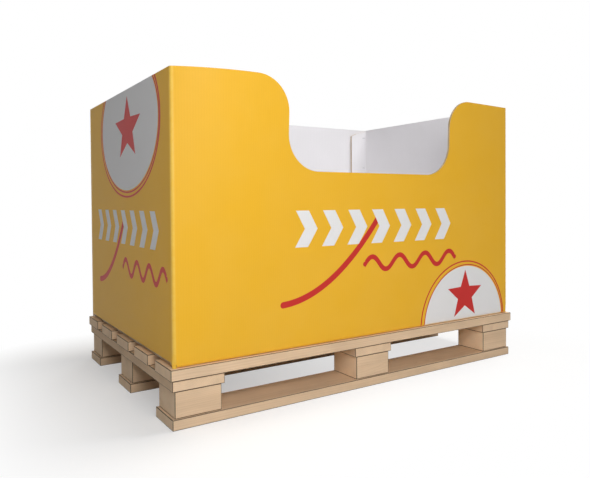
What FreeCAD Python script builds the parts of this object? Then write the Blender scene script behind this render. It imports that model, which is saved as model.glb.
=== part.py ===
# Cardboard display stand: a printed corrugated bin with a cut-out front, standing on a wooden pallet.
# Millimetres. +X runs along the front, +Y to the back, +Z up. The origin is on the floor,
# under the middle of the pallet.
import FreeCAD, Part
import Sketcher
import os

doc = FreeCAD.newDocument("DisplayStand")
sheet = doc.addObject("Spreadsheet::Sheet", "Sizes")

# Driving dimensions: alias, value, what it is
driving_sizes = [
    # pallet timber
    ("pallet_length", 1200, "deck outline along the front"),
    ("pallet_width", 800, "deck outline from front to back"),
    ("deck_board_width", 115, "each of the five deck boards"),
    ("deck_board_thick", 28, "deck board"),
    ("cross_board_width", 132, "board under the deck, over a row of blocks"),
    ("cross_board_thick", 26, "board under the deck"),
    ("cross_inset", 5, "cross board end and side, in from the deck outline"),
    ("block_length", 118, "block along the front"),
    ("block_width", 112, "block from front to back"),
    ("block_height", 64, "block"),
    ("bottom_board_width", 120, "skid board under the blocks"),
    ("bottom_board_thick", 26, "skid board"),
    ("bottom_inset", 5, "skid board end and side, in from the deck outline"),
    # nails
    ("nail_radius", 1.7, "shank"),
    ("nail_head_radius", 3.8, "head"),
    ("nail_head_thick", 1.4, "head"),
    ("nail_point", 5, "length of the pointed tip"),
    ("nail_clearance", 0.1, "between a nail and its hole"),
    ("long_nail", 88, "through deck and cross board into a block"),
    ("short_nail", 50, "through a deck board into a cross board"),
    ("bottom_nail", 60, "through a skid board into a block"),
    ("nail_step_x", 30, "nail of a pair, off the crossing's middle along X"),
    ("nail_step_y", 26, "nail of a pair, off the crossing's middle along Y"),
    # printed carton
    ("carton_inset", 9, "carton's outer faces, in from the deck outline"),
    ("carton_height", 700, "deck to the carton's top edge"),
    ("board_thick", 7, "double-wall corrugated board"),
    ("fold_radius", 7, "outside of a folded corner"),
    ("crease_radius", 0.8, "inside of a folded corner"),
    ("layer_gap", 0.5, "air between two layers folded onto each other"),
    ("bow_depth", 42, "how far the front's top edge bulges forward"),
    ("bow_crest", 200, "where it bulges most, from the left corner"),
    ("cutout_width", 590, "opening in the front wall"),
    ("cutout_floor", 464, "height of the opening's lower edge over the deck"),
    ("cutout_top_radius", 90, "rounded top corner of each shoulder"),
    ("cutout_low_radius", 95, "rounded lower corner of the opening"),
    ("flap_reach", 389, "bottom flap, from its wall's outer face"),
    ("flap_relief", 8, "bottom flap's end, in from the wall's corner"),
    # glued and stitched corner joint
    ("joint_width", 80, "joint flap, from the inside corner"),
    ("joint_drop", 5, "joint flap's top, under the carton's top edge"),
    ("joint_slope", 12, "fall of the joint flap's sloping ends, as far as the clipped corners"),
    ("joint_clip_width", 27, "clipped corner of the joint flap, across"),
    ("joint_clip_fall", 12, "clipped corner of the joint flap, up and down"),
    ("joint_foot", 4, "joint flap's foot, over the bottom flaps"),
    ("seam_step", 1, "back wall's raw edge, in from the right face"),
    # wire stitches
    ("stitch_count", 5, "stitches down the joint"),
    ("stitch_pitch", 133, "from one stitch to the next"),
    ("stitch_drop", 34, "top stitch, under the carton's top edge"),
    ("stitch_inset", 13, "stitch, from the inside corner"),
    ("stitch_crown", 14, "outer width"),
    ("stitch_wire_width", 2, "flat wire, up and down"),
    ("stitch_wire_thick", 0.8, "flat wire"),
    ("stitch_clearance", 0.1, "between the wire and the board"),
]
for row, (alias, number, note) in enumerate(driving_sizes, start=1):
    sheet.set(f"A{row}", alias)
    sheet.set(f"B{row}", str(number))
    sheet.setAlias(f"B{row}", alias)
    sheet.set(f"C{row}", note)
doc.recompute()


def size(name):
    return f"Sizes.{name}"


def value(expression):
    return float(sheet.evalExpression(expression))


# Sizes that follow from the driving ones, as expressions over the sheet
half_length = f"({size('pallet_length')} / 2)"
half_width = f"({size('pallet_width')} / 2)"
block_base = size("bottom_board_thick")
cross_base = f"({block_base} + {size('block_height')})"
deck_base = f"({cross_base} + {size('cross_board_thick')})"
deck_top = f"({deck_base} + {size('deck_board_thick')})"
column_pitch = f"({half_length} - {size('cross_inset')} - {size('cross_board_width')} / 2)"
row_pitch = f"({half_width} - {size('bottom_inset')} - {size('bottom_board_width')} / 2)"
deck_pitch = f"(({size('pallet_width')} - {size('deck_board_width')}) / 4)"
half_x = f"({half_length} - {size('carton_inset')})"
half_y = f"({half_width} - {size('carton_inset')})"
inner_x = f"({half_x} - {size('board_thick')})"
inner_y = f"({half_y} - {size('board_thick')})"
upper_flap_base = f"({size('board_thick')} + {size('layer_gap')})"
flaps_top = f"({upper_flap_base} + {size('board_thick')})"
joint_back = f"({inner_y} - {size('layer_gap')})"
joint_front = f"({joint_back} - {size('board_thick')})"
crest_x = f"({size('bow_crest')} - {half_x})"


# Helpers for bodies, sketches and features
def new_body(label, x="0", y="0", z="0"):
    body = doc.addObject("PartDesign::Body", label)
    body.Label = label
    body.setExpression("Placement.Base.x", x)
    body.setExpression("Placement.Base.y", y)
    body.setExpression("Placement.Base.z", z)
    return body


def origin_item(body, role):
    return [item for item in body.Origin.OriginFeatures if item.Role == role][0]


def new_sketch(body, name, role, offset="0"):
    sketch = body.newObject("Sketcher::SketchObject", name)
    sketch.AttachmentSupport = [(origin_item(body, role), "")]
    sketch.MapMode = "FlatFace"
    sketch.setExpression("AttachmentOffset.Base.z", offset)
    return sketch


def pin_point(sketch, edge, end, x, y):
    # ties one point of an edge to the origin by two bound distances
    for kind, expression in (("DistanceX", x), ("DistanceY", y)):
        if expression is not None:
            index = sketch.addConstraint(
                Sketcher.Constraint(kind, -1, 1, edge, end, value(expression)))
            sketch.setExpression(f"Constraints[{index}]", expression)


def draw_outline(sketch, corners):
    # a corner is (x, y), or (x, y, centre_x, centre_y, how) where the edge that ends there is
    # an arc; how may hold "centred", which fixes the centre's height too, and "smooth", where
    # the arc's end is free to slide until it runs smoothly into the next edge
    points = [FreeCAD.Vector(value(c[0]), value(c[1]), 0) for c in corners]
    hows = [c[4] if len(c) == 5 else "" for c in corners]
    ends = []
    for index, corner in enumerate(corners):
        start, stop = points[index - 1], points[index]
        if len(corner) == 2:
            edge = sketch.addGeometry(Part.LineSegment(start, stop))
            ends.append((edge, 1, 2))
            continue
        centre = FreeCAD.Vector(value(corner[2]), value(corner[3]), 0)
        circle = Part.Circle(centre, FreeCAD.Vector(0, 0, 1), (stop - centre).Length)
        turns_left = (start - centre).cross(stop - centre).z > 0
        first, last = (start, stop) if turns_left else (stop, start)
        arc = Part.ArcOfCircle(circle, circle.parameter(first), circle.parameter(last))
        edge = sketch.addGeometry(arc)
        ends.append((edge, 1, 2) if turns_left else (edge, 2, 1))
        pin_point(sketch, edge, 3, corner[2], corner[3] if "centred" in hows[index] else None)
    for index, (edge, first, last) in enumerate(ends):
        following = ends[(index + 1) % len(ends)]
        kind = "Tangent" if "smooth" in hows[index] else "Coincident"
        sketch.addConstraint(Sketcher.Constraint(kind, edge, last, following[0], following[1]))
        if kind == "Coincident":
            pin_point(sketch, edge, last, corners[index][0], corners[index][1])


def draw_box(sketch, low_x, low_y, high_x, high_y):
    draw_outline(sketch, [(low_x, low_y), (high_x, low_y), (high_x, high_y), (low_x, high_y)])


def draw_circles(sketch, spots, radius):
    for x, y in spots:
        centre = FreeCAD.Vector(value(x), value(y), 0)
        edge = sketch.addGeometry(Part.Circle(centre, FreeCAD.Vector(0, 0, 1), value(radius)))
        index = sketch.addConstraint(Sketcher.Constraint("Radius", edge, value(radius)))
        sketch.setExpression(f"Constraints[{index}]", radius)
        pin_point(sketch, edge, 3, x, y)


def pad(body, name, sketch, length):
    feature = body.newObject("PartDesign::Pad", name)
    feature.Profile = sketch
    feature.setExpression("Length", length)


def pocket(body, name, sketch, depth, backwards=False):
    # the cut has to take something away, or it pointed away from the solid
    doc.recompute()
    before = body.Shape.Volume
    feature = body.newObject("PartDesign::Pocket", name)
    feature.Profile = sketch
    feature.Reversed = backwards
    feature.setExpression("Length", depth)
    doc.recompute()
    if not body.Shape.Volume < before:
        raise RuntimeError(f"{name} cuts nothing from {body.Label}")
    return feature


def loft(body, name, kind, lower, upper):
    feature = body.newObject(kind, name)
    feature.Profile = lower
    feature.Sections = [upper]
    feature.Ruled = True


def round_fold(body, name, role, offset, corner, inward, length):
    # takes the square corner off the outside of a fold, along its whole length
    radius = size("fold_radius")
    x, y = corner
    centre_x = f"({x} + {inward[0]} * {radius})"
    centre_y = f"({y} + {inward[1]} * {radius})"
    sketch = new_sketch(body, name + "_outline", role, offset)
    draw_outline(sketch, [(x, y), (centre_x, y), (x, centre_y, centre_x, centre_y)])
    pocket(body, name, sketch, length)


# Pallet timber: sawn boards and blocks with drilled nail holes.
# A piece's own origin is the middle of its underside.
def timber(label, place, length, width, height):
    body = new_body(label, *place)
    sketch = new_sketch(body, label + "_outline", "XY_Plane")
    draw_box(sketch, f"-{length} / 2", f"-{width} / 2", f"{length} / 2", f"{width} / 2")
    pad(body, label + "_sawn", sketch, height)
    return body


def drill(body, name, spots, radius, depth, from_height=None):
    # from the top surface down, or from the underside up when no height is given
    sketch = new_sketch(body, f"{body.Label}_{name}_spots", "XY_Plane", from_height or "0")
    draw_circles(sketch, spots, radius)
    pocket(body, f"{body.Label}_{name}", sketch, depth, backwards=from_height is None)


shank_hole = f"({size('nail_radius')} + {size('nail_clearance')})"
head_hole = f"({size('nail_head_radius')} + {size('nail_clearance')})"
head_depth = f"({size('nail_head_thick')} + {size('nail_clearance')})"


def nail_pair(x, y, slant):
    # two spots on a diagonal about a crossing's middle
    step_x, step_y = size("nail_step_x"), size("nail_step_y")
    return [(f"{x} - {step_x}", f"{y} + {slant} * {step_y}"),
            (f"{x} + {step_x}", f"{y} - {slant} * {step_y}")]


deck_slant, bottom_slant = 1, -1
columns = {"left": -1, "middle": 0, "right": 1}
rows = {"front": -1, "middle": 0, "back": 1}
deck_rows = [-2, -1, 0, 1, 2]

for number, deck_row in enumerate(deck_rows, start=1):
    place = ("0", f"{deck_row} * {deck_pitch}", deck_base)
    board = timber(f"deck_board_{number}", place, size("pallet_length"),
                   size("deck_board_width"), size("deck_board_thick"))
    spots = [spot for column in columns.values()
             for spot in nail_pair(f"{column} * {column_pitch}", "0", deck_slant)]
    drill(board, "shanks", spots, shank_hole, size("deck_board_thick"),
          size("deck_board_thick"))
    drill(board, "heads", spots, head_hole, head_depth, size("deck_board_thick"))

for side, column in columns.items():
    place = (f"{column} * {column_pitch}", "0", cross_base)
    board = timber(f"cross_board_{side}", place, size("cross_board_width"),
                   f"({size('pallet_width')} - 2 * {size('cross_inset')})",
                   size("cross_board_thick"))
    spots = [spot for deck_row in deck_rows
             for spot in nail_pair("0", f"{deck_row} * {deck_pitch}", deck_slant)]
    drill(board, "shanks", spots, shank_hole, size("cross_board_thick"),
          size("cross_board_thick"))

for end, row in rows.items():
    for side, column in columns.items():
        place = (f"{column} * {column_pitch}", f"{row} * {row_pitch}", block_base)
        block = timber(f"block_{end}_{side}", place, size("block_length"),
                       size("block_width"), size("block_height"))
        deck_shift = f"{row} * (2 * {deck_pitch} - {row_pitch})"
        long_bite = (f"{size('long_nail')} - {size('deck_board_thick')}"
                     f" - {size('cross_board_thick')} + {size('nail_clearance')}")
        drill(block, "deck_nails", nail_pair("0", deck_shift, deck_slant), shank_hole,
              long_bite, size("block_height"))
        bottom_bite = (f"{size('bottom_nail')} - {size('bottom_board_thick')}"
                       f" + {size('nail_clearance')}")
        drill(block, "bottom_nails", nail_pair("0", "0", bottom_slant), shank_hole,
              bottom_bite)

for end, row in rows.items():
    place = ("0", f"{row} * {row_pitch}", "0")
    board = timber(f"bottom_board_{end}", place,
                   f"({size('pallet_length')} - 2 * {size('bottom_inset')})",
                   size("bottom_board_width"), size("bottom_board_thick"))
    spots = [spot for column in columns.values()
             for spot in nail_pair(f"{column} * {column_pitch}", "0", bottom_slant)]
    drill(board, "shanks", spots, shank_hole, size("bottom_board_thick"))
    drill(board, "heads", spots, head_hole, head_depth)


# Nails: two turned profiles, one for each nail of a pair, repeated over the crossings.
# The group's own origin is level with the heads' outer faces. points is -1 for nails
# that point down and 1 for nails that point up.
def nail_group(label, head_level, length, points, slant, extent, count):
    body = new_body(label, "0", "0", head_level)
    neck = f"{points} * {size('nail_head_thick')}"
    taper = f"{points} * ({length} - {size('nail_point')})"
    profile = [("0", "0"), (size("nail_head_radius"), "0"), (size("nail_head_radius"), neck),
               (size("nail_radius"), neck), (size("nail_radius"), taper),
               ("0", f"{points} * {length}")]
    nails = []
    for x, y in nail_pair(f"-{column_pitch}", f"-{extent} / 2", slant):
        name = f"{label}_{len(nails) + 1}"
        sketch = new_sketch(body, name + "_profile", "XZ_Plane", f"-({y})")
        sketch.setExpression("AttachmentOffset.Base.x", x)
        draw_outline(sketch, profile)
        nail = body.newObject("PartDesign::Revolution", name)
        nail.Profile = sketch
        nail.ReferenceAxis = (sketch, ["V_Axis"])
        nail.Angle = 360
        nails.append(nail)
    doc.recompute()
    spread = body.newObject("PartDesign::MultiTransform", label + "_spread")
    spread.Originals = nails
    steps = []
    for role, reach, copies in (("X_Axis", f"2 * {column_pitch}", len(columns)),
                                ("Y_Axis", extent, count)):
        step = body.newObject("PartDesign::LinearPattern", f"{label}_{role}")
        step.Direction = (origin_item(body, role), [""])
        step.Occurrences = copies
        step.setExpression("Length", reach)
        steps.append(step)
    spread.Transformations = steps
    body.Tip = spread


nail_group("long_nails", deck_top, size("long_nail"), -1, deck_slant, f"(4 * {deck_pitch})", 3)
nail_group("short_nails", deck_top, size("short_nail"), -1, deck_slant, f"(2 * {deck_pitch})", 2)
nail_group("bottom_nails", "0", size("bottom_nail"), 1, bottom_slant, f"(2 * {row_pitch})", 3)


# Carton: one folded blank of corrugated board. Its own origin is on the deck.
carton = new_body("printed_carton", "0", "0", deck_top)


def bow_radius(run):
    # radius of an arc that rises by the bow over this run and is level at its end
    return f"(({run} ^ 2 + {size('bow_depth')} ^ 2) / (2 * {size('bow_depth')}))"


def draw_ring(sketch, wall_x, wall_y, radius, bowed):
    # four walls in plan; the front one is two straights, or two arcs that meet at the crest.
    # The back right corner is square, because the blank's two ends meet there.
    corner_x, corner_y = f"({wall_x} - {radius})", f"({wall_y} - {radius})"
    if bowed:
        crest_y = f"(-{wall_y} - {size('bow_depth')})"
        left_centre = f"({crest_y} + {bow_radius(f'({crest_x} + {wall_x})')})"
        right_centre = f"({crest_y} + {bow_radius(f'({wall_x} - {crest_x})')})"
        front = [(f"-{corner_x}", f"-{wall_y}", f"-{corner_x}", f"-{corner_y}", "smooth centred"),
                 (crest_x, crest_y, crest_x, left_centre),
                 (corner_x, f"-{wall_y}", crest_x, right_centre, "smooth"),
                 (wall_x, f"-{corner_y}", corner_x, f"-{corner_y}", "centred")]
    else:
        front = [(f"-{corner_x}", f"-{wall_y}", f"-{corner_x}", f"-{corner_y}"),
                 (crest_x, f"-{wall_y}"), (corner_x, f"-{wall_y}"),
                 (wall_x, f"-{corner_y}", corner_x, f"-{corner_y}")]
    draw_outline(sketch, [(f"-{wall_x}", f"-{corner_y}"), *front, (wall_x, wall_y),
                          (f"-{corner_x}", wall_y),
                          (f"-{wall_x}", corner_y, f"-{corner_x}", corner_y)])


def ring(name, kind, wall_x, wall_y, radius):
    # straight at the bottom fold, bowed at the top edge, ruled in between
    lower = new_sketch(carton, name + "_bottom", "XY_Plane")
    draw_ring(lower, wall_x, wall_y, radius, bowed=False)
    upper = new_sketch(carton, name + "_top", "XY_Plane", size("carton_height"))
    draw_ring(upper, wall_x, wall_y, radius, bowed=True)
    loft(carton, name, kind, lower, upper)


ring("outer_faces", "PartDesign::AdditiveLoft", half_x, half_y, size("fold_radius"))
ring("inner_faces", "PartDesign::SubtractiveLoft", inner_x, inner_y, size("crease_radius"))

# opening in the front wall, with rounded shoulders and rounded lower corners
opening = new_sketch(carton, "cutout_outline", "XZ_Plane")
side = f"({size('cutout_width')} / 2)"
brow = f"({side} + {size('cutout_top_radius')})"
level = f"({side} - {size('cutout_low_radius')})"
top = size("carton_height")
shoulder = f"({top} - {size('cutout_top_radius')})"
hollow = f"({size('cutout_floor')} + {size('cutout_low_radius')})"
floor = size("cutout_floor")
draw_outline(opening, [
    (brow, f"{top} + {size('board_thick')}"), (f"-{brow}", f"{top} + {size('board_thick')}"),
    (f"-{brow}", top), (f"-{side}", shoulder, f"-{brow}", shoulder),
    (f"-{side}", hollow), (f"-{level}", floor, f"-{level}", hollow),
    (level, floor), (side, hollow, level, hollow),
    (side, shoulder), (brow, top, brow, shoulder)])
pocket(carton, "cutout", opening, f"{half_y} + 2 * {size('bow_depth')}", backwards=True)

# the side walls fold in above the long bottom flaps, so they stop short of the deck
for name, start, stop in (("left_foot", f"-{half_x}", f"-{inner_x}"),
                          ("right_foot", inner_x, half_x)):
    foot = new_sketch(carton, name + "_outline", "XY_Plane")
    draw_box(foot, start, f"-{inner_y}", stop, inner_y)
    pocket(carton, name, foot, upper_flap_base, backwards=True)

# long bottom flaps, folded from the front and back walls, meet in the middle on the deck
flap_end = f"({half_x} - {size('flap_relief')})"
for name, start, stop in (("front_flap", f"-{half_y}", f"-{half_y} + {size('flap_reach')}"),
                          ("back_flap", f"{half_y} - {size('flap_reach')}", half_y)):
    flap = new_sketch(carton, name + "_outline", "XY_Plane")
    draw_box(flap, f"-{flap_end}", start, flap_end, stop)
    pad(carton, name, flap, size("board_thick"))

# short bottom flaps, folded from the side walls, lie over the long ones
flap_end = f"({inner_y} - {size('flap_relief')})"
for name, start, stop in (("left_flap", f"-{half_x}", f"-{half_x} + {size('flap_reach')}"),
                          ("right_flap", f"{half_x} - {size('flap_reach')}", half_x)):
    flap = new_sketch(carton, name + "_outline", "XY_Plane", upper_flap_base)
    draw_box(flap, start, f"-{flap_end}", stop, flap_end)
    pad(carton, name, flap, size("board_thick"))

# joint flap, folded from the right wall onto the inside of the back wall
joint = new_sketch(carton, "joint_flap_outline", "XZ_Plane", f"-{joint_back}")
joint_edge = f"({inner_x} - {size('joint_width')})"
joint_top = f"({size('carton_height')} - {size('joint_drop')})"
joint_low = f"({flaps_top} + {size('joint_foot')})"
joint_clip = f"({joint_edge} + {size('joint_clip_width')})"
joint_fall = f"({size('joint_slope')} + {size('joint_clip_fall')})"
draw_outline(joint, [
    (inner_x, joint_low), (inner_x, joint_top),
    (joint_clip, f"{joint_top} - {size('joint_slope')}"),
    (joint_edge, f"{joint_top} - {joint_fall}"), (joint_edge, f"{joint_low} + {joint_fall}"),
    (joint_clip, f"{joint_low} + {size('joint_slope')}")])
pad(carton, "joint_flap", joint, size("board_thick"))

# the back wall is a free board there: a slit parts it from the right wall and the flap
slit = new_sketch(carton, "seam_slit_outline", "XY_Plane", size("carton_height"))
draw_box(slit, f"{joint_edge} - {size('layer_gap')}", joint_back, half_x, inner_y)
pocket(carton, "seam_slit", slit, f"{size('carton_height')} - {size('board_thick')}")
raw_edge = new_sketch(carton, "raw_edge_outline", "XY_Plane", size("carton_height"))
draw_box(raw_edge, f"{half_x} - {size('seam_step')}", joint_back, half_x, half_y)
pocket(carton, "raw_edge", raw_edge, size("carton_height"))
round_fold(carton, "joint_fold", "XY_Plane", size("carton_height"), (half_x, joint_back),
           (-1, -1), f"{size('carton_height')} - {size('board_thick')}")

# outsides of the bottom folds
for name, turn in (("front", -1), ("back", 1)):
    round_fold(carton, f"{name}_flap_fold", "YZ_Plane", half_x, (f"({turn} * {half_y})", "0"),
               (-turn, 1), f"2 * {half_x}")
for name, turn in (("left", -1), ("right", 1)):
    round_fold(carton, f"{name}_flap_fold", "XZ_Plane", inner_y,
               (f"({turn} * {half_x})", upper_flap_base), (-turn, 1), f"2 * {inner_y}")


# Wire stitches through the joint: the crown lies inside on the flap and the legs are
# clenched outside on the back wall
stitch_x = f"({inner_x} - {size('stitch_inset')})"
crown_y = f"({joint_front} - {size('stitch_clearance')} - {size('stitch_wire_thick')})"
clench_y = f"({half_y} + {size('stitch_clearance')} + {size('stitch_wire_thick')})"
stitch_half = f"({size('stitch_crown')} / 2)"
leg_half = f"({stitch_half} - {size('stitch_wire_thick')})"
top_stitch = f"({deck_top} + {size('carton_height')} - {size('stitch_drop')})"
wire = size("stitch_wire_thick")

stitches = new_body("joint_stitches", stitch_x, "0", top_stitch)
bend = new_sketch(stitches, "stitch_outline", "XY_Plane", f"-{size('stitch_wire_width')} / 2")
inside_crown, inside_clench = f"{crown_y} + {wire}", f"{clench_y} - {wire}"
draw_outline(bend, [
    (f"-{stitch_half}", crown_y), (stitch_half, crown_y), (stitch_half, clench_y),
    (wire, clench_y), (wire, inside_clench), (leg_half, inside_clench),
    (leg_half, inside_crown), (f"-{leg_half}", inside_crown), (f"-{leg_half}", inside_clench),
    (f"-{wire}", inside_clench), (f"-{wire}", clench_y), (f"-{stitch_half}", clench_y)])
pad(stitches, "stitch", bend, size("stitch_wire_width"))


def repeat_down(body, name, feature):
    # one copy for each stitch, downwards from the top one
    doc.recompute()
    row_of = body.newObject("PartDesign::LinearPattern", name)
    row_of.Originals = [feature]
    row_of.Direction = (origin_item(body, "Z_Axis"), [""])
    row_of.Reversed = True
    row_of.setExpression("Occurrences", size("stitch_count"))
    row_of.setExpression("Length", f"{size('stitch_pitch')} * ({size('stitch_count')} - 1)")
    body.Tip = row_of


repeat_down(stitches, "stitch_row", stitches.Tip)

legs = new_sketch(carton, "stitch_holes_outline", "XZ_Plane", f"-({half_y} + {wire})")
hole_z = f"({size('carton_height')} - {size('stitch_drop')})"
hole_half = f"({size('stitch_wire_width')} / 2 + {size('stitch_clearance')})"
for turn in (-1, 1):
    middle = f"({stitch_x} + {turn} * ({stitch_half} - {wire} / 2))"
    reach = f"({wire} / 2 + {size('stitch_clearance')})"
    draw_box(legs, f"{middle} - {reach}", f"{hole_z} - {hole_half}",
             f"{middle} + {reach}", f"{hole_z} + {hole_half}")
through = f"3 * {size('board_thick')} + {size('layer_gap')}"
repeat_down(carton, "stitch_holes",
            pocket(carton, "top_stitch_holes", legs, through, backwards=True))


# Check the document, then write one file for each sub-part
doc.recompute()
for item in doc.Objects:
    if "Invalid" in item.State or "Error" in item.State:
        raise RuntimeError(f"{item.Label} did not build: {item.State}")
bodies = [item for item in doc.Objects if item.TypeId == "PartDesign::Body"]
for body in bodies:
    if body.Shape.isNull() or not body.Shape.isValid():
        raise RuntimeError(f"{body.Label} has no valid shape")
    print(f"{body.Label}: {len(body.Shape.Solids)} solids, {body.Shape.Volume / 1000:.1f} cm3")

os.makedirs("parts", exist_ok=True)
for body in bodies:
    body.Shape.exportStep(f"parts/{body.Label}.step")
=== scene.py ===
import math
import random
import bpy
import bmesh
import numpy as np
from mathutils import Matrix, Vector, noise
from mathutils.geometry import delaunay_2d_cdt


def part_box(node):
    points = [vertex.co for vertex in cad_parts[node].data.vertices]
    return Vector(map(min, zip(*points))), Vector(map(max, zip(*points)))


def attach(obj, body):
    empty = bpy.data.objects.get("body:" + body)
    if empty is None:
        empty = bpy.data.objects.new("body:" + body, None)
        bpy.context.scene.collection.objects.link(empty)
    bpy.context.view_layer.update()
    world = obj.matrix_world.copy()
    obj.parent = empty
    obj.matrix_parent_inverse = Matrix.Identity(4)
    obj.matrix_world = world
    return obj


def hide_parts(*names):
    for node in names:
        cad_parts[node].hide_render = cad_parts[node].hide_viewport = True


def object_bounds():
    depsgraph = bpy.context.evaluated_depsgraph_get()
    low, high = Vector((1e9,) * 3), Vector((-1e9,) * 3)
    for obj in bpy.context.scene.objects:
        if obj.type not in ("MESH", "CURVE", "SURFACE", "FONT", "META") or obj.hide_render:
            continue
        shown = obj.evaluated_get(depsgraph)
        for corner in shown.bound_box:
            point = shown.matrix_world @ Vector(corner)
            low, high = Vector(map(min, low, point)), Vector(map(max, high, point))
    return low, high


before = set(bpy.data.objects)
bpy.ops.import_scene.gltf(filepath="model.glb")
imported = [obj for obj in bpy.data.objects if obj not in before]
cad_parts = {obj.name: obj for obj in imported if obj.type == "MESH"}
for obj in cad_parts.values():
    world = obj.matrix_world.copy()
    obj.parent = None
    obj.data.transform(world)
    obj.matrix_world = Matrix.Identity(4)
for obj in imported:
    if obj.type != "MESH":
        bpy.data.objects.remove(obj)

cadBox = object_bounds()
print("frame loaded:", len(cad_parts), "nodes")


# camera

camera = {
    "place": (-1.06498, -1.71392, 0.53068),
    "turn": 34.38,  # degrees to the right of straight ahead
    "tilt": -0.95,  # degrees, negative looks down
    "roll": -0.38,
    "lens": 36.06,
    "sensor": 36.0,
    "shift": (-0.0527, -0.0479),
}


def addCamera():
    turn, tilt, roll = (math.radians(camera[key]) for key in ("turn", "tilt", "roll"))
    ahead = Vector((math.sin(turn) * math.cos(tilt), math.cos(turn) * math.cos(tilt), math.sin(tilt)))
    right = ahead.cross(Vector((0, 0, 1))).normalized()
    up = right.cross(ahead)
    right = right * math.cos(roll) + up * math.sin(roll)
    up = right.cross(ahead)
    data = bpy.data.cameras.new("viewCamera")
    data.lens = camera["lens"]
    data.sensor_width = camera["sensor"]
    data.shift_x, data.shift_y = camera["shift"]
    view = bpy.data.objects.new("viewCamera", data)
    bpy.context.scene.collection.objects.link(view)
    axes = Matrix((right, up, -ahead)).transposed().to_4x4()
    view.matrix_world = Matrix.Translation(camera["place"]) @ axes
    bpy.context.scene.camera = view


addCamera()


# helpers

cloudRange = (0.3, 0.7)  # where most of a noise cloud's values lie
pairRange = (0.7, 1.3)  # the same for the sum of two clouds


class Shader:
    def __init__(self, name):
        self.material = bpy.data.materials.new(name)
        self.material.use_nodes = True
        self.nodes = self.material.node_tree.nodes
        self.links = self.material.node_tree.links
        self.surface = self.nodes["Principled BSDF"]

    def put(self, socket, value):
        if isinstance(value, bpy.types.NodeSocket):
            self.links.new(value, socket)
        elif value is not None:
            socket.default_value = value

    def calc(self, operation, *values):
        node = self.nodes.new("ShaderNodeMath")
        node.operation = operation
        for socket, value in zip(node.inputs, values):
            self.put(socket, value)
        return node.outputs[0]

    def add(self, a, b):
        return self.calc("ADD", a, b)

    def sub(self, a, b):
        return self.calc("SUBTRACT", a, b)

    def mul(self, a, b):
        return self.calc("MULTIPLY", a, b)

    def both(self, a, b):
        return self.calc("MINIMUM", a, b)

    def either(self, a, b):
        return self.calc("MAXIMUM", a, b)

    def size(self, value):
        return self.calc("ABSOLUTE", value)

    def reach(self, a, b):
        return self.calc("SQRT", self.add(self.mul(a, a), self.mul(b, b)))

    def inside(self, distance, soft):
        # 1 where the distance is below zero, with a soft step at the edge
        node = self.nodes.new("ShaderNodeMapRange")
        node.interpolation_type = "SMOOTHSTEP"
        for socket, value in zip(node.inputs, (distance, -soft, soft, 1.0, 0.0)):
            self.put(socket, value)
        return node.outputs[0]

    def spread(self, value, low, high, fromLow=0.0, fromHigh=1.0):
        node = self.nodes.new("ShaderNodeMapRange")
        for socket, number in zip(node.inputs, (value, fromLow, fromHigh, low, high)):
            self.put(socket, number)
        return node.outputs[0]

    def place(self):
        return self.nodes.new("ShaderNodeTexCoord").outputs["Object"]

    def attribute(self, name, output="Fac"):
        node = self.nodes.new("ShaderNodeAttribute")
        node.attribute_name = name
        return node.outputs[output]

    def split(self, vector):
        node = self.nodes.new("ShaderNodeSeparateXYZ")
        self.put(node.inputs[0], vector)
        return node.outputs[0], node.outputs[1], node.outputs[2]

    def join(self, x, y, z):
        node = self.nodes.new("ShaderNodeCombineXYZ")
        for socket, value in zip(node.inputs, (x, y, z)):
            self.put(socket, value)
        return node.outputs[0]

    def stretch(self, vector, scales):
        node = self.nodes.new("ShaderNodeVectorMath")
        node.operation = "MULTIPLY"
        self.put(node.inputs[0], vector)
        self.put(node.inputs[1], scales)
        return node.outputs[0]

    def cloud(self, vector, scale, detail=2.0, rough=0.5):
        node = self.nodes.new("ShaderNodeTexNoise")
        self.put(node.inputs["Vector"], vector)
        node.inputs["Scale"].default_value = scale
        node.inputs["Detail"].default_value = detail
        node.inputs["Roughness"].default_value = rough
        return node.outputs["Fac"]

    def tint(self, factor, first, second, blend="MIX"):
        node = self.nodes.new("ShaderNodeMix")
        node.data_type = "RGBA"
        node.blend_type = blend
        self.put(node.inputs[0], factor)
        for socket, colour in ((node.inputs[6], first), (node.inputs[7], second)):
            self.put(socket, colour if isinstance(colour, bpy.types.NodeSocket) else (*colour, 1))
        return node.outputs[2]

    def shade(self, colour, factor):
        return self.tint(1.0, colour, self.join(factor, factor, factor), "MULTIPLY")

    def relief(self, height, distance, strength=1.0):
        node = self.nodes.new("ShaderNodeBump")
        node.inputs["Distance"].default_value = distance
        node.inputs["Strength"].default_value = strength
        self.put(node.inputs["Height"], height)
        self.put(self.surface.inputs["Normal"], node.outputs[0])

    def finish(self, colour, rough, specular=0.3):
        self.put(self.surface.inputs["Base Color"], colour)
        self.put(self.surface.inputs["Roughness"], rough)
        self.surface.inputs["Specular IOR Level"].default_value = specular
        return self.material


def screenColour(red, green, blue):
    # a colour as a screen shows it, 0 to 255, to Blender's linear values
    return tuple(((c / 255 + 0.055) / 1.055) ** 2.4 if c > 10 else c / 3295 for c in (red, green, blue))


def newObject(name, mesh, materials):
    for material in materials:
        mesh.materials.append(material)
    piece = bpy.data.objects.new(name, mesh)
    bpy.context.scene.collection.objects.link(piece)
    return piece


def finishMesh(bm, name):
    mesh = bpy.data.meshes.new(name)
    bm.to_mesh(mesh)
    bm.free()
    return mesh


def joinRings(bm, rings):
    # faces from each ring of points to the next
    faces = []
    for first, second in zip(rings, rings[1:]):
        for k in range(len(first)):
            after = (k + 1) % len(first)
            faces.append(bm.faces.new((first[k], first[after], second[after], second[k])))
    return faces


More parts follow.
